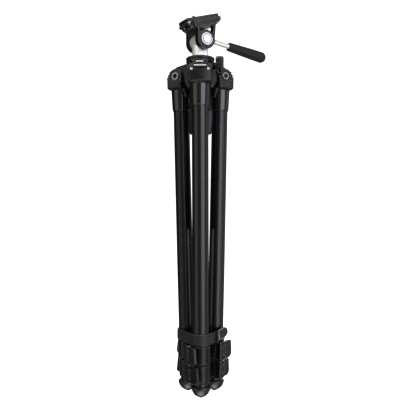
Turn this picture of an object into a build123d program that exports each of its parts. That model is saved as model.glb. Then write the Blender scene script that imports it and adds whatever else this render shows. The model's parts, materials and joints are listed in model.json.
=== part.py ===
from build123d import *
import os
from math import asin, atan, cos, degrees, radians, sin, sqrt, tan

os.makedirs("parts", exist_ok=True)

# A folded aluminium tripod with a two-way pan and tilt head, in millimetres.
# The origin is on the floor under the centre column, +Z is up, and the front
# leg stands towards -Y.

# Leg layout
leg_azimuths = {"a": -90, "b": 30, "c": 150}
pivot_radius = 40.8
pivot_height = 552.0
leg_lean = degrees(atan(0.0260))
foot_trim = 0.5
leg_length = (pivot_height + foot_trim) / cos(radians(leg_lean))

# Leg tubes, radii and the heights of their ends along the leg
upper_r, upper_bore, upper_bottom, upper_top = 14.0, 12.7, 64.0, 537.0
middle_r, middle_bore, middle_bottom, middle_top = 12.0, 10.8, 32.0, 500.0
lower_r, lower_bore, lower_bottom, lower_top = 10.0, 8.8, 12.0, 480.0
slide_gap = 0.06
guide_length = 10.0
groove_r, groove_depth = 2.2, 0.8

# Clamp collars with their flip levers
lever_thick = 4.0
hinge_pin_r = 2.0
knuckle_r = 2.9
ear_share = 0.22

# Foot
foot_rim_r = 16.8
foot_rim_z = 17.0
foot_top = 20.5
foot_neck_r = 12.5

# Hinge block at the top of each leg
block_bottom, block_wall_top, block_floor = 529.8, 550.6, 539.2
block_corner_top = 551.4
block_out, block_in, block_half, block_corner = 19.0, 13.5, 20.0, 4.5
block_bow = 2.6
cheek_in = 13.0
dome_r = 12.4
bolt_r = 4.0
bolt_head_r = 7.2
bolt_recess_r = 9.0
bolt_seat = 16.4
cheek_face, step_drop = 18.4, 8.0
stop_low, stop_top, tab_half, shoulder_half = -1.0, 12.2, 6.6, 11.6
ear_out = 16.0
ear_low, ear_high = -3.4, 0.2
sleeve_bottom, sleeve_bottom_r, sleeve_top_r = 493.0, 15.6, 16.9

# Crown casting, its guide sleeve and the centre column
arm_half = 12.6
nose_r = 11.5
hub_r = 18.5
hub_top = 571.5
hub_bottom = 492.0
guide_bottom, guide_top_r, guide_bottom_r = 448.5, 21.7, 19.2
column_r, column_bore, column_bottom = 12.5, 11.0, 292.0
platform_r, platform_low, platform_high = 24.6, 572.0, 577.0
knob_azimuth, knob_height = -30, 564.6
knob_inner, knob_outer, knob_span = 33.5, 44.5, 32.0

# Head, drawn on planes that turn with the pan and the tilt
pan_r, pan_low, pan_high = 25.0, 577.3, 581.8
pan_azimuth = 30
tilt_height, tilt_angle = 610.0, 17.0
post_r, barrel_r, barrel_half = 14.0, 14.5, 11.2
axle_r = 5.0
cheek_inner, cheek_outer = 11.5, 22.2
boss_r, cap_r = 16.2, 11.1
rail_low, rail_high = 21.0, 34.0
channel_floor = 27.0
dovetail_top, dovetail_bottom = 14.0, 17.0
plate_left, plate_right, plate_half = -24.2, 41.2, 16.0
plate_low, plate_high, pad_high = 34.3, 38.6, 40.3
screw_r, neck_r, screw_tip = 3.175, 2.6, 45.2
handle_drop, handle_height = 8.4, 8.1
rod_r, rod_start, rod_end = 4.2, 18.5, 64.0
grip_start, grip_end, grip_r = 59.0, 138.6, 9.8
release_u, release_w, release_r = -20.4, 14.2, 4.4
release_foot, release_hub, release_top = 29.0, 31.0, 33.9
stop_pin_u, stop_pin_w = -17.1, 11.0

# Strap round the folded legs
strap_low, strap_high, strap_gap, strap_thick = 91.0, 109.5, 0.5, 2.6
tail_flare, tail_rise = 13.0, 15.0


def leg_plane(azimuth):
    """Plane of one leg: x away from the column, z up the tubes, foot at zero."""
    out = Vector(cos(radians(azimuth)), sin(radians(azimuth)), 0)
    up = Vector(0, 0, 1)
    along = out * sin(radians(leg_lean)) + up * cos(radians(leg_lean))
    across = out * cos(radians(leg_lean)) - up * sin(radians(leg_lean))
    pivot = out * pivot_radius + up * pivot_height
    return Plane(origin=pivot - along * leg_length, x_dir=across, z_dir=along)


# Planes on the leg's own axes, whose pivot is leg_length above the foot
leg_side = Plane(origin=(0, 0, leg_length), x_dir=(1, 0, 0), z_dir=(0, -1, 0))

# Planes of the head: level and turned by the pan, then tilted about the axle
pan_plane = Plane.XY.rotated((0, 0, pan_azimuth))
axle_point = Vector(0, 0, tilt_height)
pan_along = Vector(cos(radians(pan_azimuth)), sin(radians(pan_azimuth)), 0)
axle_line = Vector(sin(radians(pan_azimuth)), -cos(radians(pan_azimuth)), 0)
plate_along = pan_along * cos(radians(tilt_angle)) + Vector(0, 0, sin(radians(tilt_angle)))
plate_up = Vector(0, 0, cos(radians(tilt_angle))) - pan_along * sin(radians(tilt_angle))
cheek_plane = Plane(origin=axle_point, x_dir=plate_along, z_dir=axle_line)
plate_plane = Plane(origin=axle_point, x_dir=plate_along, z_dir=plate_up)
end_plane = Plane(origin=axle_point, x_dir=axle_line, z_dir=-plate_along)
handle_dir = pan_along * cos(radians(handle_drop)) - Vector(0, 0, sin(radians(handle_drop)))
handle_point = Vector(0, 0, tilt_height + handle_height)
handle_plane = Plane(origin=handle_point, x_dir=axle_line, z_dir=handle_dir)

# LEGS
# Every piece of a leg is drawn once on the leg's own axes.


def groove_places(radius):
    """Centres of the two anti-twist grooves that run down both sides of a tube."""
    stand = radius + groove_r - groove_depth
    return Locations((0, stand), (0, -stand))


# Leg tubes: the two inner ones carry a guide ring at their top end.
with BuildPart() as upper_tube:
    with BuildSketch(Plane.XY.offset(upper_bottom)):
        Circle(upper_r)
        Circle(upper_bore, mode=Mode.SUBTRACT)
        with groove_places(upper_r):
            Circle(groove_r, mode=Mode.SUBTRACT)
    extrude(amount=upper_top - upper_bottom)

with BuildPart() as middle_tube:
    with BuildSketch(Plane.XZ):
        with BuildLine():
            Polyline(
                (middle_bore, middle_bottom),
                (middle_r, middle_bottom),
                (middle_r, middle_top - guide_length),
                (upper_bore - slide_gap, middle_top - guide_length),
                (upper_bore - slide_gap, middle_top),
                (middle_bore, middle_top),
                close=True,
            )
        make_face()
    revolve(axis=Axis.Z)
    with BuildSketch(Plane.XY.offset(middle_bottom)):
        with groove_places(middle_r):
            Circle(groove_r)
    extrude(amount=middle_top - middle_bottom, mode=Mode.SUBTRACT)

with BuildPart() as lower_tube:
    with BuildSketch(Plane.XZ):
        with BuildLine():
            Polyline(
                (lower_bore, lower_bottom),
                (lower_r, lower_bottom),
                (lower_r, lower_top - guide_length),
                (middle_bore - slide_gap, lower_top - guide_length),
                (middle_bore - slide_gap, lower_top),
                (lower_bore, lower_top),
                close=True,
            )
        make_face()
    revolve(axis=Axis.Z)
    with BuildSketch(Plane.XY.offset(lower_bottom)):
        with groove_places(lower_r):
            Circle(groove_r)
    extrude(amount=lower_top - lower_bottom, mode=Mode.SUBTRACT)

# Rubber foot: a bulging cone under a rounded rim, bored for the lower tube and
# worn flat where it meets the floor.
floor_plane = Plane(
    origin=(0, 0, foot_trim),
    x_dir=(cos(radians(leg_lean)), 0, sin(radians(leg_lean))),
    z_dir=(-sin(radians(leg_lean)), 0, cos(radians(leg_lean))),
)
with BuildPart() as foot:
    with BuildSketch(Plane.XZ):
        with BuildLine():
            Polyline((0, 0), (0, 26.5), (foot_neck_r, 26.5), (foot_neck_r, foot_top))
            Polyline((foot_neck_r, foot_top), (foot_rim_r - 1.2, foot_top))
            ThreePointArc(
                (foot_rim_r - 1.2, foot_top),
                (foot_rim_r - 0.2, foot_top - 1.0),
                (foot_rim_r, foot_rim_z),
            )
            ThreePointArc((foot_rim_r, foot_rim_z), (14.5, 10.4), (11.4, 6.4))
            ThreePointArc((11.4, 6.4), (6.0, 2.8), (0, 0))
        make_face()
    revolve(axis=Axis.Z)
    with BuildSketch(Plane.XY.offset(lower_bottom)):
        Circle(lower_r)
    extrude(amount=20, mode=Mode.SUBTRACT)
    split(bisect_by=floor_plane, keep=Keep.TOP)


def clamp(low, high, radius, seat_r, seat_z, slide_r, pin, turn, reach):
    """Collar and flip lever of one clamp. The leaf's face looks along turn."""
    height = high - low
    ear = height * ear_share
    face = Vector(cos(radians(turn)), sin(radians(turn)), 0)
    along = Vector(-sin(radians(turn)), cos(radians(turn)), 0)
    pin_point = Vector(pin[0], pin[1], 0)
    tail = -12.0 + pin_point.dot(along)
    stand = pin_point.dot(face)
    leaf_plane = Plane(origin=pin_point, x_dir=along, z_dir=face)
    lug_plane = Plane(origin=(0, 0, low), x_dir=along, z_dir=(0, 0, 1))
    with BuildPart() as collar:
        with BuildSketch(Plane.XZ):
            with BuildLine():
                Polyline(
                    (slide_r + slide_gap, low),
                    (radius - 1.4, low),
                    (radius, low + 1.4),
                    (radius, high - 1.4),
                    (radius - 1.4, high),
                    (seat_r, high),
                    (seat_r, seat_z),
                    (slide_r + slide_gap, seat_z),
                    close=True,
                )
            make_face()
        revolve(axis=Axis.Z)
        # fixed lug beside the hinge, with an ear above and below the knuckle
        with BuildSketch(lug_plane):
            with BuildLine():
                Polyline(
                    (tail + 3.6, -stand + lever_thick * 2.6),
                    (tail, -stand + lever_thick * 1.9),
                    (tail, -stand - 0.9),
                    (tail + 1.1, -stand - 2.0),
                    (tail + 8.4, -stand - 2.0),
                    (tail + 8.4, -stand + lever_thick * 2.6),
                    close=True,
                )
            make_face()
        extrude(amount=height - 0.8)
        with BuildSketch(Plane.XY.offset(low)):
            with Locations(pin):
                Circle(3.0)
            with BuildLine():
                Polyline(
                    pin_point + face * 2.9,
                    pin_point - along * 6.0 + face * 1.9,
                    pin_point - along * 6.0 - face * 6.0,
                    pin_point + along * 2.0 - face * 6.0,
                    pin_point + along * 2.0 - face * 2.0,
                    close=True,
                )
            make_face()
        extrude(amount=height - 0.8)
        # room for the knuckle between the ears
        with BuildSketch(Plane.XY.offset(low + ear)):
            with Locations(pin):
                Circle(3.5)
            with BuildLine():
                Polyline(
                    pin_point - along * 3.5,
                    pin_point - along * 3.5 + face * 6.0,
                    pin_point + along * 8.0 + face * 6.0,
                    pin_point + along * 8.0 - face * 3.5,
                    pin_point - face * 3.5,
                    close=True,
                )
            make_face()
        extrude(amount=height - 0.8 - 2 * ear, mode=Mode.SUBTRACT)
        # the tube and the wall of the collar keep their own rounds
        with BuildSketch(Plane.XY.offset(low)):
            Circle(slide_r + slide_gap)
        extrude(amount=seat_z - low, mode=Mode.SUBTRACT)
        with BuildSketch(Plane.XY.offset(seat_z)):
            Circle(seat_r)
        extrude(amount=high - seat_z, mode=Mode.SUBTRACT)
        # hinge pin, riveted in the two ears
        with BuildSketch(Plane.XY.offset(low + ear - 1)):
            with Locations(pin):
                Circle(hinge_pin_r)
        extrude(amount=height - 0.8 - 2 * ear + 2)
    with BuildPart() as lever:
        with BuildSketch(leaf_plane):
            with BuildLine():
                Polyline(
                    (3.6, low + 0.2),
                    (3.6, high - 0.6),
                    (reach - 5.8, high - 0.6),
                    (reach - 4.0, high - 2.2),
                    (reach - 1.6, low + height * 0.22),
                    (reach - 2.8, low + height * 0.14),
                    (reach - 9.0, low + 0.2),
                    close=True,
                )
            make_face()
        extrude(amount=lever_thick / 2, both=True)
        front = lever.faces().sort_by(Axis(origin=(0, 0, 0), direction=face))[-1]
        chamfer(front.edges(), 0.8)
        with BuildSketch(leaf_plane):
            with Locations((2.0, (low + high - 0.8) / 2)):
                Rectangle(4.0, height - 0.8 - 2 * ear - 0.8)
        extrude(amount=lever_thick / 2, both=True)
        with BuildSketch(Plane.XY.offset(low + ear + 0.4)):
            with Locations(pin):
                Circle(knuckle_r)
        extrude(amount=height - 0.8 - 2 * ear - 0.8)
        with BuildSketch(Plane.XY.offset(low)):
            with Locations(pin):
                Circle(hinge_pin_r + slide_gap)
        extrude(amount=height, mode=Mode.SUBTRACT)
    return collar.part, lever.part


upper_collar, upper_lever = clamp(
    59.0, 90.0, 16.5, upper_r, upper_bottom, middle_r, (5.0, -20.0), -63, 27.0
)
lower_collar, lower_lever = clamp(
    27.0, 57.0, 15.0, middle_r, middle_bottom, lower_r, (4.5, -18.5), -56, 27.5
)

# Plain sleeve under the hinge block, flaring towards the top
with BuildPart() as sleeve:
    with BuildSketch(Plane.XZ):
        with BuildLine():
            Polyline(
                (upper_r, sleeve_bottom),
                (sleeve_bottom_r - 0.6, sleeve_bottom),
                (sleeve_bottom_r, sleeve_bottom + 0.6),
                (sleeve_top_r, block_bottom - 1.4),
                (sleeve_top_r - 0.8, block_bottom),
                (upper_r, block_bottom),
                close=True,
            )
        make_face()
    revolve(axis=Axis.Z)

# Hinge block: a fork whose two cheeks straddle an arm of the crown. Its front
# wall is lower than the cheeks, and a tongue backs the sleeve on the inside.
with BuildPart() as tongue:
    with BuildSketch(Plane.YZ.offset(-8)):
        with BuildLine():
            Polyline(
                (-12.4, block_bottom + 1.0),
                (12.4, block_bottom + 1.0),
                (9.0, block_bottom - 14.0),
                (-9.0, block_bottom - 14.0),
                close=True,
            )
        make_face()
    extrude(amount=-12)
    with BuildSketch(Plane.XY.offset(block_bottom - 15)):
        Circle(sleeve_top_r + 1.7)
    extrude(amount=16, mode=Mode.INTERSECT)
    with BuildSketch(Plane.XY.offset(block_bottom - 15)):
        Circle(sleeve_top_r + 0.1)
    extrude(amount=15, mode=Mode.SUBTRACT)

with BuildPart() as hinge_block:
    with BuildSketch(Plane.XY.offset(block_bottom)) as block_outline:
        with BuildLine():
            ThreePointArc(
                (block_out - block_bow, -block_half),
                (block_out, 0),
                (block_out - block_bow, block_half),
            )
            Polyline(
                (block_out - block_bow, block_half),
                (-block_in, block_half),
                (-block_in, -block_half),
                (block_out - block_bow, -block_half),
            )
        make_face()
        fillet(block_outline.vertices(), block_corner)
    extrude(amount=block_corner_top - block_bottom)
    chamfer(hinge_block.faces().sort_by(Axis.Z)[0].edges(), 3.0)
    with BuildSketch(leg_side):
        Circle(dome_r)
        with Locations((0, -dome_r / 2)):
            Rectangle(2 * dome_r, dome_r)
    extrude(amount=block_half, both=True)
    with BuildSketch(leg_side):
        Circle(nose_r + 0.7)
        with Locations((-4, block_floor - leg_length + 20)):
            Rectangle(2 * nose_r + 9.4, 40)
        with Locations((0, block_wall_top - leg_length + 20)):
            Rectangle(4 * dome_r, 40)
    extrude(amount=cheek_in, both=True, mode=Mode.SUBTRACT)
    add(tongue.part)
    with BuildSketch(Plane.XY.offset(block_bottom)):
        Circle(upper_r)
    extrude(amount=upper_top - block_bottom, mode=Mode.SUBTRACT)
    with BuildSketch(leg_side):
        Circle(bolt_r + slide_gap)
    extrude(amount=block_half + 1, both=True, mode=Mode.SUBTRACT)
    for side in (1, -1):
        # the round cheeks stand back from the block below them
        with BuildSketch(leg_side.offset(side * cheek_face)):
            with Locations((-8.2, 15.0 - step_drop)):
                Rectangle(40.0, 30.0)
        extrude(amount=side * 4, mode=Mode.SUBTRACT)
        with BuildSketch(leg_side.offset(side * bolt_seat)):
            Circle(bolt_recess_r)
        extrude(amount=side * 6, mode=Mode.SUBTRACT)
        with BuildSketch(leg_side.offset(side * (block_half - 0.8))):
            with Locations((3.0, -14.6)):
                SlotOverall(6.6, 1.8)
        extrude(amount=side * 2, mode=Mode.SUBTRACT)
        with BuildSketch(leg_side.offset(side * (shoulder_half - 0.3))):
            with Locations((16.3, (ear_low + ear_high) / 2)):
                Rectangle(20.0, ear_high - ear_low + 0.6)
        extrude(amount=side * (ear_out - shoulder_half + 0.6), mode=Mode.SUBTRACT)

# Polished leg-angle stop: a pierced pull plate with two raised finger bars, whose
# ears run in the slots of the cheeks.
stop_back, stop_face, stop_front = 17.3, 18.8, 19.7
stop_plane = Plane(origin=(stop_back, 0, leg_length), x_dir=(0, 1, 0), z_dir=(1, 0, 0))
bars = ((4.0, 2 * shoulder_half - 2.0), (10.4, 2 * tab_half - 0.8))
with BuildPart() as angle_stop:
    with BuildSketch(stop_plane):
        with BuildLine():
            Polyline(
                (-shoulder_half, stop_low),
                (-shoulder_half, 5.4),
                (-tab_half, 8.4),
                (-tab_half, stop_top),
                (tab_half, stop_top),
                (tab_half, 8.4),
                (shoulder_half, 5.4),
                (shoulder_half, stop_low),
                close=True,
            )
        make_face()
        with Locations((0, stop_low)):
            Rectangle(2 * tab_half + 2.0, 6.8, mode=Mode.SUBTRACT)
        with Locations((0, 7.2)):
            SlotOverall(2 * tab_half - 1.6, 2.8, mode=Mode.SUBTRACT)
        for side in (1, -1):
            with Locations((side * (shoulder_half + ear_out) / 2, (ear_low + ear_high) / 2)):
                Rectangle(ear_out - shoulder_half, ear_high - ear_low)
    extrude(amount=stop_face - stop_back)
    for bar_height, bar_length in bars:
        with BuildSketch(stop_plane.offset(stop_face - stop_back)):
            with Locations((0, bar_height)):
                Rectangle(bar_length, 2.6)
        extrude(amount=stop_front - stop_face, taper=30)
    for side in (1, -1):
        with BuildSketch(leg_side.offset(side * (cheek_in + 0.3))):
            with Locations((12.6, (ear_low + ear_high) / 2)):
                Rectangle(12.0, ear_high - ear_low)
        extrude(amount=side * (ear_out - cheek_in - 0.3))

leg_pieces = {
    "hinge_block": hinge_block.part,
    "sleeve": sleeve.part,
    "upper_tube": upper_tube.part,
    "upper_collar": upper_collar,
    "upper_lever": upper_lever,
    "middle_tube": middle_tube.part,
    "lower_collar": lower_collar,
    "lower_lever": lower_lever,
    "lower_tube": lower_tube.part,
    "foot": foot.part,
    "angle_stop": angle_stop.part,
}
for tag, azimuth in leg_azimuths.items():
    for piece_name, piece in leg_pieces.items():
        placed = piece.moved(leg_plane(azimuth).location)
        placed.label = f"leg_{tag}_{piece_name}"
        export_step(placed, f"parts/leg_{tag}_{piece_name}.step")

# CROWN
# Cast crown: a bored hub with three arms that end in round noses.
pivot_side = {
    tag: Plane(
        origin=(0, 0, 0),
        x_dir=(cos(radians(azimuth)), sin(radians(azimuth)), 0),
        z_dir=(sin(radians(azimuth)), -cos(radians(azimuth)), 0),
    )
    for tag, azimuth in leg_azimuths.items()
}
knob_plane = Plane(
    origin=(0, 0, knob_height),
    x_dir=(-sin(radians(knob_azimuth)), cos(radians(knob_azimuth)), 0),
    z_dir=(cos(radians(knob_azimuth)), sin(radians(knob_azimuth)), 0),
)
with BuildPart() as spider:
    with BuildSketch(Plane.XZ):
        with BuildLine():
            Polyline(
                (0, hub_bottom),
                (20.4, hub_bottom),
                (20.4, hub_bottom + 5),
                (hub_r, hub_bottom + 13),
                (hub_r, hub_top - 1),
                (hub_r - 1, hub_top),
                (0, hub_top),
                close=True,
            )
        make_face()
    revolve(axis=Axis.Z)
    for tag in leg_azimuths:
        with BuildSketch(pivot_side[tag]):
            with Locations((pivot_radius, pivot_height)):
                Circle(nose_r)
            with BuildLine():
                Polyline(
                    (10, hub_top),
                    (24, hub_top),
                    (pivot_radius + 2.4, pivot_height + 15.9),
                    (pivot_radius + 3.7, pivot_height + 10.9),
                    (pivot_radius, pivot_height),
                    (pivot_radius - 8.1, pivot_height - 8.1),
                    (24.4, pivot_height - 11.5),
                    (hub_r, pivot_height - 21),
                    (10, pivot_height - 21),
                    close=True,
                )
            make_face()
        extrude(amount=arm_half, both=True)
    with BuildSketch(knob_plane):
        Circle(6.2)
    extrude(amount=26)
    with BuildSketch(Plane.XY.offset(hub_bottom - 1)):
        Circle(column_r + slide_gap)
    extrude(amount=hub_top - hub_bottom + 2, mode=Mode.SUBTRACT)
    for tag in leg_azimuths:
        with BuildSketch(pivot_side[tag]):
            with Locations((pivot_radius, pivot_height)):
                Circle(bolt_r)
        extrude(amount=arm_half + 1, both=True, mode=Mode.SUBTRACT)
    with BuildSketch(knob_plane.offset(column_r - 1)):
        Circle(3 + slide_gap)
    extrude(amount=20, mode=Mode.SUBTRACT)
spider.part.label = "spider"
export_step(spider.part, "parts/spider.step")

# Guide sleeve that hangs under the hub, tapering to a rounded lower end
with BuildPart() as column_guide_sleeve:
    with BuildSketch(Plane.XZ):
        with BuildLine():
            Polyline(
                (column_r + slide_gap, guide_bottom),
                (guide_bottom_r - 2.4, guide_bottom),
                (guide_bottom_r, guide_bottom + 2.6),
                (guide_top_r - 0.5, guide_bottom + 21.0),
                (guide_top_r, hub_bottom - 4.5),
                (guide_top_r - 3.0, hub_bottom),
                (column_r + slide_gap, hub_bottom),
                close=True,
            )
        make_face()
    revolve(axis=Axis.Z)
column_guide_sleeve.part.label = "column_guide_sleeve"
export_step(column_guide_sleeve.part, "parts/column_guide_sleeve.step")

# One hex-socket bolt and one round nut clamp each fork to its arm.
with BuildPart() as pivot_bolts:
    for tag in leg_azimuths:
        at_pivot = (pivot_radius, pivot_height)
        with BuildSketch(pivot_side[tag].offset(-bolt_seat - 0.2)):
            with Locations(at_pivot):
                Circle(bolt_r)
        extrude(amount=2 * bolt_seat + 2.0)
        with BuildSketch(pivot_side[tag].offset(-bolt_seat - 0.2)):
            with Locations(at_pivot):
                Circle(bolt_head_r)
        extrude(amount=-1.9, taper=6)
        with BuildSketch(pivot_side[tag].offset(-bolt_seat - 2.1)):
            with Locations(at_pivot):
                RegularPolygon(2.9, 6)
        extrude(amount=2.4, mode=Mode.SUBTRACT)
pivot_bolts.part.label = "pivot_bolts"
export_step(pivot_bolts.part, "parts/pivot_bolts.step")

with BuildPart() as pivot_nuts:
    for tag in leg_azimuths:
        with BuildSketch(pivot_side[tag].offset(bolt_seat + 0.2)):
            with Locations((pivot_radius, pivot_height)):
                RegularPolygon(7.0, 6)
                Circle(bolt_r, mode=Mode.SUBTRACT)
        extrude(amount=2.4)
pivot_nuts.part.label = "pivot_nuts"
export_step(pivot_nuts.part, "parts/pivot_nuts.step")

# CENTRE COLUMN
with BuildPart() as centre_column:
    with BuildSketch(Plane.XY.offset(column_bottom)):
        Circle(column_r)
        Circle(column_bore, mode=Mode.SUBTRACT)
    extrude(amount=platform_low - column_bottom)
centre_column.part.label = "centre_column"
export_step(centre_column.part, "parts/centre_column.step")

# Platform disc with a spigot in the tube and a stud that the head turns on
with BuildPart() as column_platform:
    with BuildSketch(Plane.XZ):
        with BuildLine():
            Polyline(
                (0, platform_low - 18),
                (column_bore, platform_low - 18),
                (column_bore, platform_low),
                (platform_r - 1.0, platform_low),
                (platform_r, platform_low + 1.0),
                (platform_r, platform_high - 0.8),
                (platform_r - 0.8, platform_high),
                (5, platform_high),
                (5, pan_high + 6),
                (0, pan_high + 6),
                close=True,
            )
        make_face()
    revolve(axis=Axis.Z)
column_platform.part.label = "column_platform"
export_step(column_platform.part, "parts/column_platform.step")

with BuildPart() as column_end_cap:
    with BuildSketch(Plane.XZ):
        with BuildLine():
            Polyline(
                (0, column_bottom + 12),
                (column_bore, column_bottom + 12),
                (column_bore, column_bottom),
                (column_r, column_bottom),
                (column_r, column_bottom - 5),
                (column_r - 3, column_bottom - 8),
                (0, column_bottom - 8),
                close=True,
            )
        make_face()
    revolve(axis=Axis.Z)
column_end_cap.part.label = "column_end_cap"
export_step(column_end_cap.part, "parts/column_end_cap.step")

# Wing knob on a clamp screw, between the front and the right leg
knob_side = Plane(origin=knob_plane.origin, x_dir=knob_plane.z_dir, z_dir=-knob_plane.x_dir)
with BuildPart() as column_lock_knob:
    with BuildSketch(knob_plane.offset(knob_inner)):
        RectangleRounded(11.0, knob_span, 5.0)
    with BuildSketch(knob_plane.offset(knob_outer)):
        RectangleRounded(7.0, knob_span - 2.0, 3.2)
    loft()
    with BuildSketch(knob_side):
        with BuildLine():
            Polyline(
                (knob_inner - 1, 8.6),
                (knob_inner + 3.4, knob_span),
                (knob_outer + 1, knob_span),
                (knob_outer + 1, -knob_span),
                (knob_inner + 3.4, -knob_span),
                (knob_inner - 1, -8.6),
                close=True,
            )
        make_face()
    extrude(amount=8, both=True, mode=Mode.INTERSECT)
    # thumb hollows in both faces of each wing
    for side in (1, -1):
        with BuildSketch(knob_side.offset(side * 2.4)):
            for end in (1, -1):
                with BuildLine():
                    Polyline(
                        (knob_inner + 2.2, end * 4.4),
                        (knob_outer - 2.4, end * 4.4),
                        (knob_outer - 2.4, end * 13.2),
                        (knob_inner + 4.8, end * 13.2),
                        close=True,
                    )
                make_face()
        extrude(amount=side * 6, mode=Mode.SUBTRACT)
    with BuildSketch(knob_plane.offset(26.8)):
        Circle(5.6)
    extrude(amount=knob_inner - 26.8)
    with BuildSketch(knob_plane.offset(26)):
        Circle(3)
    extrude(amount=14, mode=Mode.SUBTRACT)
column_lock_knob.part.label = "column_lock_knob"
export_step(column_lock_knob.part, "parts/column_lock_knob.step")

with BuildPart() as column_lock_screw:
    with BuildSketch(knob_plane.offset(column_r + 0.8)):
        Circle(3)
    extrude(amount=40 - column_r - 0.8)
column_lock_screw.part.label = "column_lock_screw"
export_step(column_lock_screw.part, "parts/column_lock_screw.step")

# HEAD
# Panning base disc and the silver T-shaped casting that stands on it
with BuildPart() as pan_base:
    with BuildSketch(Plane.XZ):
        with BuildLine():
            Polyline(
                (5 + slide_gap, pan_low),
                (pan_r - 0.8, pan_low),
                (pan_r, pan_low + 0.8),
                (pan_r, pan_high - 1.2),
                (pan_r - 1.6, pan_high),
                (5 + slide_gap, pan_high),
                close=True,
            )
        make_face()
    revolve(axis=Axis.Z)
pan_base.part.label = "pan_base"
export_step(pan_base.part, "parts/pan_base.step")

post_side = Plane(origin=axle_point, x_dir=(cos(radians(pan_azimuth)), sin(radians(pan_azimuth)), 0),
                  z_dir=axle_line)
with BuildPart() as pan_post:
    with BuildSketch(Plane.XZ):
        with BuildLine():
            Polyline(
                (0, pan_high),
                (post_r + 1.2, pan_high),
                (post_r + 1.2, pan_high + 1.6),
                (post_r, pan_high + 2.8),
                (post_r - 0.6, tilt_height),
                (0, tilt_height),
                close=True,
            )
        make_face()
    revolve(axis=Axis.Z)
    with BuildSketch(cheek_plane):
        Circle(barrel_r)
    extrude(amount=barrel_half, both=True)
    with BuildSketch(cheek_plane):
        Circle(axle_r + slide_gap)
    extrude(amount=30, both=True, mode=Mode.SUBTRACT)
    # the post is cut flat on both sides where the cheeks pass
    for side in (1, -1):
        with BuildSketch(post_side.offset(side * barrel_half)):
            Circle(boss_r + 0.8)
            with Locations((0, (pan_high + 2.8 - tilt_height) / 2)):
                Rectangle(2 * boss_r + 1.6, tilt_height - pan_high - 2.8)
        extrude(amount=side * 20, mode=Mode.SUBTRACT)
    with BuildSketch(Plane.XY.offset(pan_high)):
        Circle(5 + slide_gap)
    extrude(amount=7, mode=Mode.SUBTRACT)
pan_post.part.label = "pan_post"
export_step(pan_post.part, "parts/pan_post.step")

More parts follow.
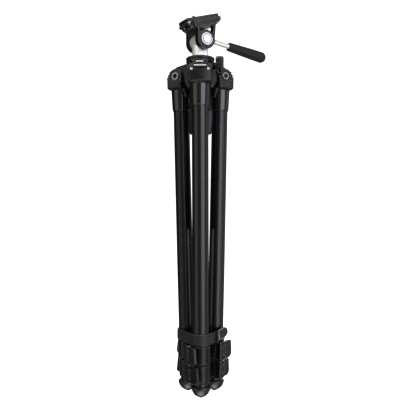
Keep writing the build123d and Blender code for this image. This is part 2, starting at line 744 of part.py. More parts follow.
# Tilting yoke: two windowed cheeks under a dovetail receiver, and a bridge at
# the back that the handle screws into
rail_ends = (
    (-10.2, rail_low),
    (-15.2, 25.6),
    (-17.6, 29.8),
    (-16.8, rail_high),
    (38.6, rail_high),
    (39.6, 31.2),
    (37.8, 26.6),
    (27.4, rail_low),
)
with BuildPart() as head_yoke:
    with BuildSketch(cheek_plane):
        with BuildLine():
            Polyline(*rail_ends, close=True)
        make_face()
    extrude(amount=cheek_outer, both=True)
    for side in (1, -1):
        with BuildSketch(cheek_plane.offset(side * cheek_inner)):
            with BuildLine():
                CenterArc((0, 0), boss_r, 0, 360)
                Line((-10.2, rail_low + 1), (26.4, rail_low + 1))
            make_hull()
        extrude(amount=side * (cheek_outer - cheek_inner))
        # the near cheek has a window above its boss, the far one a blind pocket
        window_depth = cheek_outer - cheek_inner if side == 1 else 5.0
        with BuildSketch(cheek_plane.offset(side * cheek_outer)):
            with BuildLine():
                Polyline((-9.2, 15.4), (-8.0, 20.2), (21.8, 20.5), (15.4, 6.4), close=True)
            make_face()
            Circle(boss_r - 0.2, mode=Mode.SUBTRACT)
        extrude(amount=-side * window_depth, mode=Mode.SUBTRACT)
        # bare recessed panel along the rail, and a groove round the boss
        with BuildSketch(cheek_plane.offset(side * cheek_outer)):
            with BuildLine():
                Polyline((-9.4, 23.4), (-12.2, 26.6), (-12.6, 31.0), (37.2, 31.0), (35.6, 27.4),
                         (26.8, 23.4), close=True)
            make_face()
            Circle(13.3)
            Circle(cap_r, mode=Mode.SUBTRACT)
        extrude(amount=-side * 1.1, mode=Mode.SUBTRACT)
    # thick floor under the channel, between the cheeks
    with BuildSketch(cheek_plane):
        with BuildLine():
            Polyline((-11.6, 19.4), (-12.0, 24.4), (26.0, 24.4), (24.0, 19.4), close=True)
        make_face()
    extrude(amount=cheek_inner + 0.5, both=True)
    # room for the barrel below the receiver
    with BuildSketch(cheek_plane):
        Circle(barrel_r + 0.6)
    extrude(amount=cheek_inner, both=True, mode=Mode.SUBTRACT)
    # dovetail channel along the receiver
    with BuildSketch(end_plane.offset(-60)):
        with BuildLine():
            Polyline(
                (-dovetail_bottom - 0.4, channel_floor),
                (-dovetail_top - 0.4, rail_high + 0.1),
                (dovetail_top + 0.4, rail_high + 0.1),
                (dovetail_bottom + 0.4, channel_floor),
                close=True,
            )
        make_face()
    extrude(amount=120, mode=Mode.SUBTRACT)
    # the near jaw ends short of the release lever's pivot
    with BuildSketch(plate_plane.offset(channel_floor)):
        with Locations((release_u, -release_w - 2.0)):
            Rectangle(2 * (release_u + 26.0), 14.0)
    extrude(amount=8, mode=Mode.SUBTRACT)
    # foot of the release lever at the channel's lower end, and of the stop pin
    with BuildSketch(plate_plane.offset(rail_low + 2)):
        with BuildLine():
            Polyline(
                (-11.0, -18.6),
                (release_u + 1.0, -release_w - 3.4),
                (release_u - 1.0, -release_w + 3.4),
                (-11.0, -release_w + 6.0),
                close=True,
            )
        make_face()
        with Locations((release_u, -release_w)):
            Circle(3.2)
        with Locations((stop_pin_u, stop_pin_w)):
            Circle(2.4)
        with Locations((stop_pin_u / 2 - 6.0, stop_pin_w)):
            Rectangle(-stop_pin_u - 10.0, 4.8)
    extrude(amount=channel_floor - rail_low - 2.2)
    with BuildSketch(plate_plane.offset(channel_floor - 1)):
        with Locations((release_u, -release_w)):
            Circle(3.2)
    extrude(amount=release_foot - channel_floor + 1)
    with BuildSketch(plate_plane.offset(rail_low)):
        with Locations((release_u, -release_w)):
            Circle(2.2)
        with Locations((stop_pin_u, stop_pin_w)):
            Circle(1.4)
    extrude(amount=12, mode=Mode.SUBTRACT)
    # scallop in the end of the jaw, round the lever's pivot
    with BuildSketch(plate_plane.offset(release_foot)):
        with Locations((release_u, -release_w)):
            Circle(release_r + 0.5)
    extrude(amount=8, mode=Mode.SUBTRACT)
    # bridge and threaded boss for the handle
    with BuildSketch(cheek_plane):
        with Locations((18.2, 0)):
            RectangleRounded(5.4, 15.0, 1.5)
    extrude(amount=cheek_inner + 3, both=True)
    with BuildSketch(handle_plane.offset(17.0)):
        Circle(7.2)
    extrude(amount=9.5, taper=4)
    with BuildSketch(cheek_plane):
        Circle(barrel_r + 0.6)
    extrude(amount=cheek_inner, both=True, mode=Mode.SUBTRACT)
    with BuildSketch(handle_plane.offset(rod_start)):
        Circle(rod_r + slide_gap)
    extrude(amount=20, mode=Mode.SUBTRACT)
    with BuildSketch(cheek_plane):
        Circle(axle_r)
    extrude(amount=cheek_outer + 1, both=True, mode=Mode.SUBTRACT)
head_yoke.part.label = "head_yoke"
export_step(head_yoke.part, "parts/head_yoke.step")

with BuildPart() as tilt_axle:
    with BuildSketch(cheek_plane):
        Circle(axle_r)
    extrude(amount=cheek_outer, both=True)
tilt_axle.part.label = "tilt_axle"
export_step(tilt_axle.part, "parts/tilt_axle.step")

# Polished caps on both ends of the axle
for cap_name, side in (("tilt_cap_near", 1), ("tilt_cap_far", -1)):
    with BuildPart() as cap:
        with BuildSketch(cheek_plane.offset(side * cheek_outer)):
            Circle(cap_r)
        extrude(amount=side * 2.4, taper=14)
        with BuildSketch(cheek_plane.offset(side * (cheek_outer + 2.4))):
            Circle(cap_r - 2.6)
        extrude(amount=side * -1.0, mode=Mode.SUBTRACT)
        with BuildSketch(cheek_plane.offset(side * (cheek_outer + 1.4))):
            Circle(cap_r - 3.2)
        extrude(amount=side * 1.4, taper=20)
    cap.part.label = cap_name
    export_step(cap.part, f"parts/{cap_name}.step")

# Pan handle: a rod with a swelling rubber grip
with BuildPart() as handle_rod:
    with BuildSketch(handle_plane.offset(rod_start)):
        Circle(rod_r)
    extrude(amount=rod_end - rod_start)
handle_rod.part.label = "handle_rod"
export_step(handle_rod.part, "parts/handle_rod.step")

grip_section = Plane(origin=handle_point, x_dir=handle_dir, z_dir=axle_line)
with BuildPart() as handle_grip:
    with BuildSketch(grip_section):
        with BuildLine():
            Polyline((grip_start, rod_r), (rod_end, rod_r), (rod_end, 0), (grip_end, 0))
            Line((grip_start, rod_r), (grip_start, 7.6))
            ThreePointArc((grip_start, 7.6), (92.0, 8.9), (grip_end - grip_r, grip_r))
            CenterArc((grip_end - grip_r, 0), grip_r, 0, 90)
        make_face()
    revolve(axis=Axis(origin=handle_point, direction=handle_dir))
handle_grip.part.label = "handle_grip"
export_step(handle_grip.part, "parts/handle_grip.step")

# Release lever under the lower end of the plate, hung on a polished shoulder
# screw. A small dowel beside it stops the plate.
with BuildPart() as qr_lever:
    with BuildSketch(plate_plane.offset(release_hub + 0.3)):
        with BuildLine():
            Polyline(
                (release_u + 2.4, -release_w + 1.0),
                (release_u + 1.4, 16.4),
                (release_u + 0.2, 18.2),
                (release_u - 3.0, 18.2),
                (release_u - 3.8, -release_w + 1.0),
                close=True,
            )
        make_face()
        with Locations((release_u, -release_w)):
            Circle(release_r + 0.4, mode=Mode.SUBTRACT)
    extrude(amount=release_top - release_hub - 0.3)
    # down-turned thumb tab at the free end
    with BuildSketch(plate_plane.offset(release_hub + 0.5)):
        with Locations((release_u - 1.2, 16.9)):
            Rectangle(3.4, 2.4)
    extrude(amount=release_foot - release_hub - 0.5)
    with BuildSketch(plate_plane.offset(release_foot + 0.2)):
        with Locations((release_u, -release_w)):
            Circle(3.6)
        with Locations((release_u - 0.5, -release_w + 4.2)):
            Rectangle(5.6, 6.0)
    extrude(amount=release_hub - release_foot - 0.4)
    with BuildSketch(plate_plane.offset(release_hub - 0.4)):
        with Locations((release_u - 0.5, -release_w + 6.0)):
            Rectangle(5.6, 2.2)
    extrude(amount=1.2)
    with BuildSketch(plate_plane.offset(channel_floor)):
        with Locations((release_u, -release_w)):
            Circle(2.2 + slide_gap)
    extrude(amount=5, mode=Mode.SUBTRACT)
qr_lever.part.label = "qr_lever"
export_step(qr_lever.part, "parts/qr_lever.step")

with BuildPart() as qr_lever_pin:
    with BuildSketch(plate_plane.offset(rail_low + 2)):
        with Locations((release_u, -release_w)):
            Circle(2.2)
    extrude(amount=release_hub - rail_low - 1)
    with BuildSketch(plate_plane.offset(release_top)):
        with Locations((release_u, -release_w)):
            Circle(release_r)
    extrude(amount=release_hub - release_top, taper=28)
qr_lever_pin.part.label = "qr_lever_pin"
export_step(qr_lever_pin.part, "parts/qr_lever_pin.step")

with BuildPart() as qr_stop_pin:
    with BuildSketch(plate_plane.offset(rail_low + 2)):
        with Locations((stop_pin_u, stop_pin_w)):
            Circle(1.4)
    extrude(amount=release_hub - rail_low - 2)
qr_stop_pin.part.label = "qr_stop_pin"
export_step(qr_stop_pin.part, "parts/qr_stop_pin.step")

# Quick-release plate with its dovetail, rubber pad and camera screw
with BuildPart() as qr_plate:
    with BuildSketch(plate_plane.offset(plate_low)):
        with Locations(((plate_left + plate_right) / 2, 0)):
            RectangleRounded(plate_right - plate_left, 2 * plate_half, 2.2)
    extrude(amount=plate_high - plate_low)
    with BuildSketch(end_plane.offset(-plate_right)):
        with BuildLine():
            Polyline(
                (-dovetail_bottom, channel_floor + 0.4),
                (-dovetail_top, rail_high),
                (-dovetail_top, plate_low),
                (dovetail_top, plate_low),
                (dovetail_top, rail_high),
                (dovetail_bottom, channel_floor + 0.4),
                close=True,
            )
        make_face()
    extrude(amount=plate_right + 15.4)
    with BuildSketch(plate_plane.offset(channel_floor)):
        Circle(8.2)
    extrude(amount=5.0, mode=Mode.SUBTRACT)
    with BuildSketch(plate_plane.offset(channel_floor)):
        Circle(neck_r + slide_gap)
    extrude(amount=20, mode=Mode.SUBTRACT)
qr_plate.part.label = "qr_plate"
export_step(qr_plate.part, "parts/qr_plate.step")

with BuildPart() as qr_pad:
    with BuildSketch(plate_plane.offset(plate_high)):
        with Locations(((plate_left + plate_right) / 2, 0)):
            RectangleRounded(plate_right - plate_left - 1, 2 * plate_half - 1, 1.8)
        Circle(screw_r + 0.5, mode=Mode.SUBTRACT)
    extrude(amount=pad_high - plate_high)
qr_pad.part.label = "qr_pad"
export_step(qr_pad.part, "parts/qr_pad.step")

with BuildPart() as camera_screw:
    with BuildSketch(plate_plane.offset(channel_floor + 1.2)):
        Circle(7.6)
        Rectangle(16, 1.8, mode=Mode.SUBTRACT)
    extrude(amount=1.6)
    with BuildSketch(plate_plane.offset(channel_floor + 2.8)):
        Circle(7.6)
    extrude(amount=1.8)
    with BuildSketch(plate_plane.offset(channel_floor + 4.6)):
        Circle(neck_r)
    extrude(amount=pad_high + 0.2 - channel_floor - 4.6)
    with BuildSketch(plate_plane.offset(pad_high + 0.2)):
        Circle(screw_r)
    extrude(amount=screw_tip - pad_high - 0.2)
    chamfer(camera_screw.faces().sort_by(Axis(axle_point, plate_up))[-1].edges(), 0.8)
camera_screw.part.label = "camera_screw"
export_step(camera_screw.part, "parts/camera_screw.step")

# STRAP
# A flat band drawn tight round the three legs. Its end runs on past the buckle
# in a straight tail with a rounded tip.
strap_middle = (strap_low + strap_high) / 2
strap_centre = pivot_radius - (pivot_height - strap_middle) * tan(radians(leg_lean))
strap_inner = upper_r / cos(radians(leg_lean)) + strap_gap
flat_stand = strap_centre / 2 + strap_inner + strap_thick
band_plane = Plane(
    origin=Vector(cos(radians(-30)), sin(radians(-30)), 0) * flat_stand,
    x_dir=(sin(radians(30)), cos(radians(30)), 0),
    z_dir=(cos(radians(-30)), sin(radians(-30)), 0),
)
flare, rise = radians(tail_flare), radians(tail_rise)
tail_ahead = band_plane.x_dir * cos(flare) + band_plane.z_dir * sin(flare)
tail_plane = Plane(
    origin=band_plane.origin - band_plane.z_dir * 1.2 + Vector(0, 0, strap_middle),
    x_dir=tail_ahead * cos(rise) + Vector(0, 0, sin(rise)),
    z_dir=band_plane.z_dir * cos(flare) - band_plane.x_dir * sin(flare),
)
with BuildPart() as leg_strap:
    with BuildSketch(Plane.XY.offset(strap_low)) as outer_loop:
        with PolarLocations(strap_centre, 3, start_angle=-90):
            Circle(strap_inner + strap_thick)
        make_hull()
    extrude(amount=strap_high - strap_low)
    with BuildSketch(Plane.XY.offset(strap_low)):
        with PolarLocations(strap_centre, 3, start_angle=-90):
            Circle(strap_inner)
        make_hull()
    extrude(amount=strap_high - strap_low, mode=Mode.SUBTRACT)
    tail_half = (strap_high - strap_low) / 2 - 0.5
    with BuildSketch(tail_plane):
        with BuildLine():
            Polyline(
                (3.0, -tail_half + 2.0),
                (5.4, tail_half),
                (22.0, tail_half),
                (27.6, tail_half - 4.4),
                (28.6, 0),
                (27.6, 4.4 - tail_half),
                (22.0, -tail_half),
                (4.6, -tail_half),
                close=True,
            )
        make_face()
    extrude(amount=2.0)
leg_strap.part.label = "leg_strap"
export_step(leg_strap.part, "parts/leg_strap.step")

with BuildPart() as strap_buckle:
    with BuildSketch(band_plane):
        with Locations((-1.2, strap_middle)):
            RectangleRounded(5.6, strap_high - strap_low + 3.0, 1.6)
    extrude(amount=3.2)
    fillet(strap_buckle.faces().sort_by(Axis(band_plane.origin,
           band_plane.z_dir))[-1].edges(), 0.9)
strap_buckle.part.label = "strap_buckle"
export_step(strap_buckle.part, "parts/strap_buckle.step")
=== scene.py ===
import json
from math import cos, pi, radians, sin

import bmesh
import bpy
from mathutils import Matrix, Vector


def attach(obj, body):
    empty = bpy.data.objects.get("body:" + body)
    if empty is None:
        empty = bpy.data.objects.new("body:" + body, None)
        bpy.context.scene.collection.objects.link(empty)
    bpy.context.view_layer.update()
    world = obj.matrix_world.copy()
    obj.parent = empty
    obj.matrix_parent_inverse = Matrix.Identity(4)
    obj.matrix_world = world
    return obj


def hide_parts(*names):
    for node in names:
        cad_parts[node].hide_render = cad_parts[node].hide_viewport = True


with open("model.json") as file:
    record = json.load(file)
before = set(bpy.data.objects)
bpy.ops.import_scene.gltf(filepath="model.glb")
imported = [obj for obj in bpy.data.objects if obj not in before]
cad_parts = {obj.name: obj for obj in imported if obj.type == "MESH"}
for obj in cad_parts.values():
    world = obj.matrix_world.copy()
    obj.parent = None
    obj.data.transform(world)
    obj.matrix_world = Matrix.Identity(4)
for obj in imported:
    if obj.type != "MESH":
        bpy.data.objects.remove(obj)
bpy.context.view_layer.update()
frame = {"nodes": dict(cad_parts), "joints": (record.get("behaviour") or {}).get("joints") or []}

# CAMERA
# A level view of the front leg from about a metre away, on a normal lens. The
# picture leans a hair to the left.
eye = Vector((0.0128, -1.018, 0.321))
lean = 0.0027
lens_mm, sensor_mm = 50.6, 36.0
view = bpy.data.cameras.new("photo_view")
view.lens, view.sensor_width, view.sensor_height = lens_mm, sensor_mm, sensor_mm
camera = bpy.data.objects.new("photo_view", view)
camera.location = eye
camera.rotation_euler = (pi / 2, lean, 0)
bpy.context.scene.collection.objects.link(camera)
bpy.context.scene.camera = camera

# LEG TUBES
# Three drawn aluminium tubes to each leg, one inside the other. They are brushed
# along their length and anodised black, so they shine in long soft streaks.
LEGS = ("leg_a", "leg_b", "leg_c")
nodes = frame["nodes"]


class Shade:
    """A socket of one finish, used in ordinary sums."""

    def __init__(self, tree, socket=None):
        self.tree = tree
        self.socket = socket

    def node(self, kind, settings, sockets, out=0):
        """Adds a node: its settings first, then the values or links of its sockets."""
        made = self.tree.nodes.new("ShaderNode" + kind)
        for name, value in settings.items():
            setattr(made, name, value)
        for name, value in sockets.items():
            if isinstance(value, Shade):
                self.tree.links.new(value.socket, made.inputs[name])
            else:
                made.inputs[name].default_value = value
        return Shade(self.tree, made.outputs[out])

    def sum_of(self, operation, first, second):
        return self.node("Math", {"operation": operation}, {0: first, 1: second})

    def __add__(self, other):
        return self.sum_of("ADD", self, other)

    def __radd__(self, other):
        return self.sum_of("ADD", other, self)

    def __sub__(self, other):
        return self.sum_of("SUBTRACT", self, other)

    def __rsub__(self, other):
        return self.sum_of("SUBTRACT", other, self)

    def __mul__(self, other):
        return self.sum_of("MULTIPLY", self, other)

    def __rmul__(self, other):
        return self.sum_of("MULTIPLY", other, self)

    def __truediv__(self, other):
        return self.sum_of("DIVIDE", self, other)

    def __mod__(self, other):
        return self.sum_of("FLOORED_MODULO", self, other)

    def __abs__(self):
        return self.node("Math", {"operation": "ABSOLUTE"}, {0: self})

    def clamped(self):
        return self.node("Clamp", {}, {0: self})

    def wave(self, pitch):
        """A sine that comes round each time this value grows by pitch."""
        return self.node("Math", {"operation": "SINE"}, {0: self * (2 * pi / pitch)})

    def vectors(self, operation, first, second, out="Vector"):
        sockets = {0: first, 1: second}
        return self.node("VectorMath", {"operation": operation}, sockets, out)

    def place(self, stretch=(1, 1, 1)):
        """The point on the piece, in metres, stretched for a drawn-out pattern."""
        spot = self.node("TexCoord", {}, {}, "Object")
        return self.node("Mapping", {}, {"Vector": spot, "Scale": stretch})

    def mottle(self, grain, stretch=(1, 1, 1), detail=3.0):
        """Soft noise from 0 to 1 whose blotches are about grain metres across."""
        sockets = {"Vector": self.place(stretch), "Scale": 1 / grain, "Detail": detail}
        return self.node("TexNoise", {}, sockets, "Fac")

    def blend(self, low, high):
        """The colour between low and high that this value picks."""
        low, high = (c if isinstance(c, Shade) else (*c, 1.0) for c in (low, high))
        sockets = {0: self.clamped(), 6: low, 7: high}
        return self.node("Mix", {"data_type": "RGBA"}, sockets, 2)

    def rounding(self, radius):
        """Normals that turn smoothly over the edges of the piece."""
        return self.node("Bevel", {"samples": 6}, {"Radius": radius})

    def edge_wear_and_highlight(self, rounded):
        """Edges, where rounded normals leave the faces' own: wear and painted highlight."""
        flat = self.node("NewGeometry", {}, {}, "Normal")
        likeness = self.vectors("DOT_PRODUCT", rounded, flat, "Value")
        return ((1 - likeness) * 5.0).clamped()

    def relief(self, height, depth, normal=None):
        """Normals of a surface that rises by height times depth."""
        sockets = {"Height": height, "Distance": depth, "Strength": 1.0}
        if normal is not None:
            sockets["Normal"] = normal
        return self.node("Bump", {}, sockets, "Normal")


class Finish:
    """A new material: its shader, and a Shade to start sums from."""

    def __init__(self, name, **fixed):
        self.material = bpy.data.materials.new(name)
        self.material.use_nodes = True
        self.surface = self.material.node_tree.nodes["Principled BSDF"]
        self.start = Shade(self.material.node_tree)
        for socket, value in fixed.items():
            self.surface.inputs[socket.replace("_", " ")].default_value = value

    def feed(self, **varying):
        for socket, value in varying.items():
            self.material.node_tree.links.new(
                value.socket, self.surface.inputs[socket.replace("_", " ")]
            )

    def put_on(self, *names):
        for name in names:
            slots = nodes[name].data.materials
            slots.clear()
            slots.append(self.material)


def on_legs(*pieces):
    return [f"{leg}_{piece}" for leg in LEGS for piece in pieces]


def anodised_tube():
    finish = Finish("anodised_tube", Specular_IOR_Level=0.75)
    shade = finish.start
    streaks = shade.mottle(0.0005, (1, 1, 0.006), 4.0)
    clouds = shade.mottle(0.05, (1, 1, 0.4), 2.0)
    rounded = shade.rounding(0.0003)
    # Paler edges: partly wear, partly a painted highlight on the rounded edges.
    wear_and_painted_highlight = shade.edge_wear_and_highlight(rounded)
    dark = streaks.blend((0.0050, 0.0048, 0.0050), (0.0085, 0.0082, 0.0085))
    finish.feed(
        Base_Color=(wear_and_painted_highlight * 0.5).blend(dark, (0.06, 0.06, 0.061)),
        Roughness=0.20 + streaks * 0.06 + clouds * 0.05,
        Normal=shade.relief(streaks, 0.000004, rounded),
    )
    return finish


black_tube = anodised_tube()
black_tube.put_on(*on_legs("upper_tube", "middle_tube", "lower_tube"))

# FEET
# Moulded rubber feet pushed on the lower tubes. The rubber is dull on the rim and
# rubbed smooth under it, where it meets the floor. Under the rim its colour is also
# painted paler, as a painted reflection of the floor.
tread_height = 0.013


def foot_rubber():
    finish = Finish("foot_rubber", Specular_IOR_Level=0.8)
    shade = finish.start
    grain = shade.mottle(0.0004, detail=2.0)
    clouds = shade.mottle(0.008)
    height = shade.node("SeparateXYZ", {}, {0: shade.place()}, "Z")
    # Paler and smoother below the tread height; the paler colour is a painted reflection of the
    # floor.
    rubbed_and_floor_reflection = (1.0 - height / tread_height).clamped()
    pale = clouds * 0.2 + rubbed_and_floor_reflection * 0.8
    rounded = shade.rounding(0.0005)
    finish.feed(
        Base_Color=pale.blend((0.0050, 0.0048, 0.0049), (0.014, 0.014, 0.0142)),
        Roughness=0.36 + clouds * 0.06 - rubbed_and_floor_reflection * 0.18,
        Normal=shade.relief(grain * (1 - rubbed_and_floor_reflection), 0.00006, rounded),
    )
    return finish


foot_rubber().put_on(*on_legs("foot"))

# CLAMPS
# Moulded collars with a flip lever each. The glass-filled plastic is satin black
# with a fine spark-eroded grain. Its edges are painted paler, partly as wear and
# partly as a painted highlight.


def clamp_plastic():
    finish = Finish("clamp_plastic", Specular_IOR_Level=0.5)
    shade = finish.start
    grain = shade.mottle(0.00035, detail=2.0)
    clouds = shade.mottle(0.012)
    rounded = shade.rounding(0.0010)
    # Paler edges: partly wear, partly a painted highlight.
    wear_and_painted_highlight = shade.edge_wear_and_highlight(rounded)
    dark = clouds.blend((0.0050, 0.0048, 0.0049), (0.0085, 0.0082, 0.0083))
    finish.feed(
        Base_Color=(wear_and_painted_highlight * (0.7 + grain)).blend(dark, (0.33, 0.33, 0.335)),
        Roughness=0.19 + grain * 0.08 + clouds * 0.05,
        Normal=shade.relief(grain, 0.00003, rounded),
    )
    return finish


plastic = clamp_plastic()
plastic.put_on(*on_legs("upper_collar", "upper_lever", "lower_collar", "lower_lever"))

# CLAMP PIN ENDS
# Each lever turns on a steel pin that is riveted over at both ears of its collar,
# which leaves a low bright button above and below.
joints = {joint["name"]: joint for joint in frame["joints"]}
rivet_r, rivet_rise, rivet_steps = 0.0024, 0.0007, 20
rivet_soft = rivet_rise * 0.8
ear_reach = {"upper": (0.0142, 0.0160), "lower": (0.0142, 0.0150)}


def zinc_steel():
    finish = Finish("zinc_steel", Metallic=1.0)
    shade = finish.start
    clouds = shade.mottle(0.002)
    scratches = shade.mottle(0.0003, (1, 1, 0.1))
    rounded = shade.rounding(0.0002)
    finish.feed(
        Base_Color=clouds.blend((0.42, 0.42, 0.43), (0.60, 0.60, 0.61)),
        Roughness=0.24 + clouds * 0.12 + scratches * 0.08,
        Normal=shade.relief(scratches, 0.00001, rounded),
    )
    return finish


def rivet():
    """A button that lies on the ground, with its upper edge rounded."""
    button = bmesh.new()
    bmesh.ops.create_cone(
        button, cap_ends=True, segments=rivet_steps,
        radius1=rivet_r, radius2=rivet_r, depth=rivet_rise,
    )
    rim = [e for e in button.edges if all(v.co.z > 0 for v in e.verts)]
    bmesh.ops.bevel(
        button, geom=rim, offset=rivet_soft, affect="EDGES", segments=3,
        profile=0.5, material=-1,
    )
    return button


def upright(spot, axis):
    """What moves a piece from the ground to a spot, and stands it along an axis."""
    return Matrix.Translation(spot) @ axis.to_track_quat("Z", "Y").to_matrix().to_4x4()


def piece_of(mesh, name, body, finish):
    """Makes an object of a finished bmesh, which rides on a body."""
    bmesh.ops.recalc_face_normals(mesh, faces=mesh.faces)
    data = bpy.data.meshes.new(name)
    mesh.to_mesh(data)
    mesh.free()
    data.materials.append(finish.material)
    made = bpy.data.objects.new(name, data)
    bpy.context.scene.collection.objects.link(made)
    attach(made, body)
    return made


steel = zinc_steel()
for leg in LEGS:
    for clamp, body in (("upper", leg), ("lower", f"{leg}_middle")):
        hinge = joints[f"{leg}_{clamp}_lever_flip"]
        for side, reach in zip((-1, 1), ear_reach[clamp]):
            outward = Vector(hinge["axis"]) * side
            spot = Vector(hinge["pos_m"]) + outward * (reach + rivet_rise / 2)
            place = upright(spot, outward)
            button = rivet()
            bmesh.ops.transform(button, matrix=place, verts=button.verts)
            end = "top" if side < 0 else "foot"
            piece_of(button, f"{leg}_{clamp}_pin_{end}", body, steel)

# SLEEVES
# Smooth plastic sleeves, moulded with a glossy skin. Three close the gap between
# hinge block and tube, and a longer one guides the column under the crown.


def smooth_plastic(name, dark):
    finish = Finish(name, Specular_IOR_Level=1.0)
    shade = finish.start
    clouds = shade.mottle(0.02)
    peel = shade.mottle(0.0012, detail=1.0)
    rounded = shade.rounding(0.0008)
    # Paler edges: a painted highlight line, partly wear.
    wear_and_painted_highlight = shade.edge_wear_and_highlight(rounded)
    finish.feed(
        Base_Color=wear_and_painted_highlight.blend(dark, (0.30, 0.29, 0.285)),
        Roughness=0.13 + clouds * 0.06,
        Normal=shade.relief(peel, 0.000015, rounded),
    )
    return finish


smooth_plastic("sleeve_plastic", (0.0095, 0.0092, 0.0093)).put_on(*on_legs("sleeve"))
# The guide's copy is painted paler: painted light for the shade it sits in between the legs.
smooth_plastic("guide_plastic", (0.034, 0.0335, 0.0335)).put_on("column_guide_sleeve")

# HINGE BLOCKS AND CROWN
# Pressure castings in black textured powder paint: a fork on each leg, and the
# three-armed crown that the forks straddle.


def textured_paint():
    finish = Finish("textured_paint", Specular_IOR_Level=0.5)
    shade = finish.start
    grain = shade.mottle(0.0006, detail=2.0)
    clouds = shade.mottle(0.015)
    rounded = shade.rounding(0.0011)
    # Paler edges: partly wear, partly a painted highlight.
    wear_and_painted_highlight = shade.edge_wear_and_highlight(rounded)
    dark = clouds.blend((0.009, 0.0087, 0.0089), (0.015, 0.0146, 0.0149))
    finish.feed(
        Base_Color=(wear_and_painted_highlight * 0.9).blend(dark, (0.26, 0.26, 0.265)),
        Roughness=0.27 + grain * 0.12,
        Normal=shade.relief(grain, 0.00005, rounded),
    )
    return finish


textured_paint().put_on(*on_legs("hinge_block"), "spider")

# PIVOT BOLTS
# Blackened steel socket bolts, one through each fork and arm, with a nut on the
# far side. Round the axis their colour is painted near black, a painted shade of
# the socket, and their edges are painted bright, partly as wear and partly as a
# painted highlight.
socket_r, socket_fade = 0.0035, 0.0004


def off_axis(shade, joint):
    """How far a point on the piece is from a joint's axis."""
    away = shade.vectors("SUBTRACT", shade.place(), joint["pos_m"])
    arm = shade.vectors("CROSS_PRODUCT", away, joint["axis"])
    return shade.node("VectorMath", {"operation": "LENGTH"}, {0: arm}, "Value")


def black_oxide():
    finish = Finish("black_oxide", Metallic=0.5)
    shade = finish.start
    radius = 1.0
    for leg in LEGS:
        span = off_axis(shade, joints[f"{leg}_spread"])
        radius = shade.sum_of("MINIMUM", span, radius)
    # Near black within the socket radius: painted shade of the socket.
    off_socket_shade = ((radius - socket_r) / socket_fade).clamped()
    bloom = shade.mottle(0.0025)
    rounded = shade.rounding(0.0006)
    oxide = bloom.blend((0.20, 0.192, 0.184), (0.32, 0.307, 0.294))
    # Paler edges: partly wear, partly a painted highlight.
    bright = shade.edge_wear_and_highlight(rounded).blend(oxide, (0.70, 0.67, 0.64))
    finish.feed(
        Base_Color=off_socket_shade.blend((0.008, 0.0077, 0.0074), bright),
        Roughness=0.30 + bloom * 0.18,
        Normal=rounded,
    )
    return finish


black_oxide().put_on("pivot_bolts", "pivot_nuts")

# Pressed chromed steel pull plates, one in each fork. Their colour is a painted
# reflection: dark on the plate's face, and bright on its finger bars and ears.
plate_face, shoulder, reflection_fade = 0.01895, 0.0118, 0.0002


def painted_chrome(leg):
    finish = Finish(f"painted_chrome_{leg}", Metallic=0.6)
    shade = finish.start
    pull = Vector(joints[f"{leg}_angle_stop_pull"]["axis"])
    drop = Vector(joints[f"{leg}_middle_slide"]["axis"])
    spot = shade.vectors("SUBTRACT", shade.place(), joints[f"{leg}_spread"]["pos_m"])
    proud = shade.vectors("DOT_PRODUCT", spot, pull, "Value")
    aside = shade.vectors("DOT_PRODUCT", spot, pull.cross(drop), "Value")
    # Painted reflection: bright on the bars and ears, dark on the face, with paler edges.
    bar_reflection = ((proud - plate_face) / reflection_fade).clamped()
    ear_reflection = ((abs(aside) - shoulder) / reflection_fade).clamped()
    haze = shade.mottle(0.004)
    rounded = shade.rounding(0.0004)
    painted_reflection = bar_reflection + ear_reflection + shade.edge_wear_and_highlight(rounded) * 0.3
    bright = haze.blend((0.88, 0.88, 0.90), (0.96, 0.96, 0.97))
    finish.feed(
        Base_Color=painted_reflection.blend((0.030, 0.029, 0.029), bright),
        Roughness=0.28 + haze * 0.08,
        Normal=rounded,
    )
    return finish


for leg in LEGS:
    painted_chrome(leg).put_on(f"{leg}_angle_stop")

# COLUMN AND PAN BASE
# A black tube with a cast platform on it and a plastic cap in its lower end. A
# moulded wing knob clamps it with a steel screw, and the pan base turns on top.


def satin_casting():
    finish = Finish("satin_casting", Specular_IOR_Level=0.5)
    shade = finish.start
    grain = shade.mottle(0.0008, detail=2.0)
    clouds = shade.mottle(0.010)
    rounded = shade.rounding(0.0011)
    # Paler edges: partly wear, partly a painted highlight.
    wear_and_painted_highlight = shade.edge_wear_and_highlight(rounded)
    dark = clouds.blend((0.0060, 0.0057, 0.0057), (0.0105, 0.0101, 0.0101))
    finish.feed(
        Base_Color=wear_and_painted_highlight.blend(dark, (0.30, 0.30, 0.305)),
        Roughness=0.24 + grain * 0.12,
        Normal=shade.relief(grain, 0.00003, rounded),
    )
    return finish


casting = satin_casting()
casting.put_on("column_platform", "pan_base")
black_tube.put_on("centre_column")
plastic.put_on("column_end_cap", "column_lock_knob")
steel.put_on("column_lock_screw")

# PAN POST
# Aluminium casting that stands on the pan base and carries the tilt axle. It is
# turned and bored, and left bare with a satin machined skin.


def machined_aluminium():
    finish = Finish("machined_aluminium", Metallic=0.4)
    shade = finish.start
    rings = shade.mottle(0.0004, (0.05, 0.05, 1), 3.0)
    clouds = shade.mottle(0.006)
    rounded = shade.rounding(0.0004)
    finish.feed(
        Base_Color=clouds.blend((0.80, 0.795, 0.77), (0.87, 0.865, 0.84)),
        Roughness=0.32 + rings * 0.12,
        Normal=shade.relief(rings, 0.00001, rounded),
    )
    return finish


machined_aluminium().put_on("pan_post")

# TILTING YOKE
# Die casting in satin black paint. Its two cheeks turn on a steel axle, whose ends
# are covered by polished caps turned with fine rings. Their one groove is painted
# on as a dark ring, a painted shade.
axle = joints["tilt_turn"]
groove_r, groove_half, ring_pitch = 0.0082, 0.0008, 0.0005


